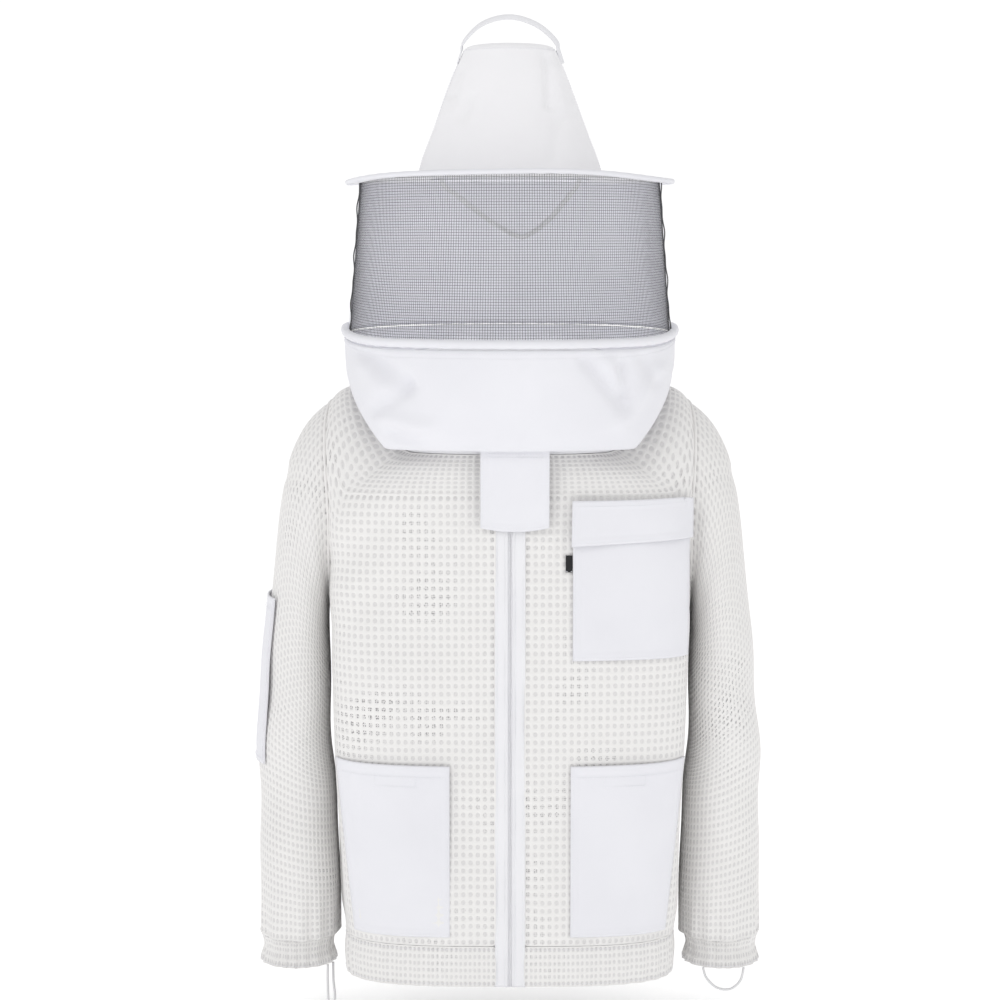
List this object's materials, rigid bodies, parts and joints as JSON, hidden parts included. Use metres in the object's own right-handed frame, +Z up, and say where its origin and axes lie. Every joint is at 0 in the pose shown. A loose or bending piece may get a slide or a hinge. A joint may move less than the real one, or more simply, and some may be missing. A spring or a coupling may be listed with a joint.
{
  "type": "beekeeping jacket with veil hood",
  "caption": "Ventilated white beekeeping jacket with front zip, pockets and elastic cuffs, and an attached round brimmed hat with a dark net veil on a wire hoop.",
  "frame": {"origin": "centre of the neck opening, where the hood is zipped to the jacket and the wearer's neck holds it up", "axes": "+Z up along the wearer's spine, front faces -Y, +X is the wearer's left"},
  "size_m": [0.6247, 0.4114, 1.2143],
  "materials": {
    "net_fabric": "matte ventilated net",
    "cotton": "matte woven cotton",
    "tape": "matte woven tape",
    "touch_fastener": "matte hook and loop",
    "zip_plastic": "satin nylon",
    "elastic": "matte ribbed elastic",
    "veil_net": "dark fine net",
    "wire": "spring steel",
    "tag": "matte black woven tag, blank"
  },
  "bodies": {
    "jacket": {"right_front_panel": "net_fabric", "left_front_panel": "net_fabric", "back_panel": "net_fabric", "shoulder_yoke": "net_fabric", "waistband": "net_fabric", "waist_elastic": "elastic", "neck_zip_lower_tape": "tape", "front_zip_tape_right": "tape", "front_zip_tape_left": "tape", "front_zip_coil_right": "zip_plastic", "front_zip_coil_left": "zip_plastic", "chest_pocket": "cotton", "chest_pocket_loop_patch": "touch_fastener", "pocket_tag": "tag", "lower_pocket_right": "cotton", "lower_pocket_left": "cotton", "tab_loop_patch_right": "touch_fastener", "tab_loop_patch_left": "touch_fastener"},
    "hood": {"hood_skirt": "cotton", "neck_zip_upper_tape": "tape", "hoop_casing": "cotton", "hoop_wire": "wire", "veil_front": "veil_net", "veil_back": "cotton", "veil_seam_right": "veil_net", "veil_seam_left": "veil_net", "hat_brim": "cotton", "brim_binding": "cotton", "hat_crown": "cotton", "crown_top": "cotton", "sweatband": "tape", "crown_loop": "tape", "head_strap": "tape"},
    "neck_tab": {"neck_tab": "cotton", "tab_hook_patch": "touch_fastener"},
    "right_sleeve": {"sleeve_right": "net_fabric", "cuff_right": "net_fabric", "cuff_elastic_right": "elastic", "thumb_loop_right": "elastic", "sleeve_pocket": "cotton"},
    "left_sleeve": {"sleeve_left": "net_fabric", "cuff_left": "net_fabric", "cuff_elastic_left": "elastic", "thumb_loop_left": "elastic"},
    "zip_slider": {"front_zip_slider": "zip_plastic"},
    "zip_pull": {"front_zip_pull": "zip_plastic"},
    "neck_zip_slider": {"neck_zip_slider": "zip_plastic"},
    "chest_flap": {"chest_flap": "cotton"}
  },
  "joints": [
    {"name": "hood_tilt", "type": "hinge", "parent": "jacket", "child": "hood", "pos_m": [0, 0.1025, 0.0485], "axis": [-1, 0, 0], "range_deg": [0, 80]},
    {"name": "right_sleeve_raise", "type": "hinge", "parent": "jacket", "child": "right_sleeve", "pos_m": [-0.221, 0, -0.006], "axis": [0, 1, 0], "range_deg": [0, 75]},
    {"name": "left_sleeve_raise", "type": "hinge", "parent": "jacket", "child": "left_sleeve", "pos_m": [0.221, 0, -0.006], "axis": [0, -1, 0], "range_deg": [0, 75]},
    {"name": "front_zip", "type": "slide", "parent": "jacket", "child": "zip_slider", "axis": [0, 0, -1], "range_m": [0, 0.605]},
    {"name": "zip_pull_swing", "type": "hinge", "parent": "zip_slider", "child": "zip_pull", "pos_m": [0, -0.1357, -0.0686], "axis": [-1, 0, 0], "range_deg": [0, 15]},
    {"name": "neck_zip", "type": "hinge", "parent": "jacket", "child": "neck_zip_slider", "pos_m": [0, 0.15, -0.05], "axis": [0, 0, 1], "range_deg": [0, 9]},
    {"name": "neck_tab_lift", "type": "hinge", "parent": "hood", "child": "neck_tab", "pos_m": [0, -0.1525, -0.0516], "axis": [-1, 0, 0], "range_deg": [0, 70]},
    {"name": "chest_flap_lift", "type": "hinge", "parent": "jacket", "child": "chest_flap", "pos_m": [0.14, -0.1397, -0.1122], "axis": [-1, 0, 0], "range_deg": [0, 100]}
  ]
}
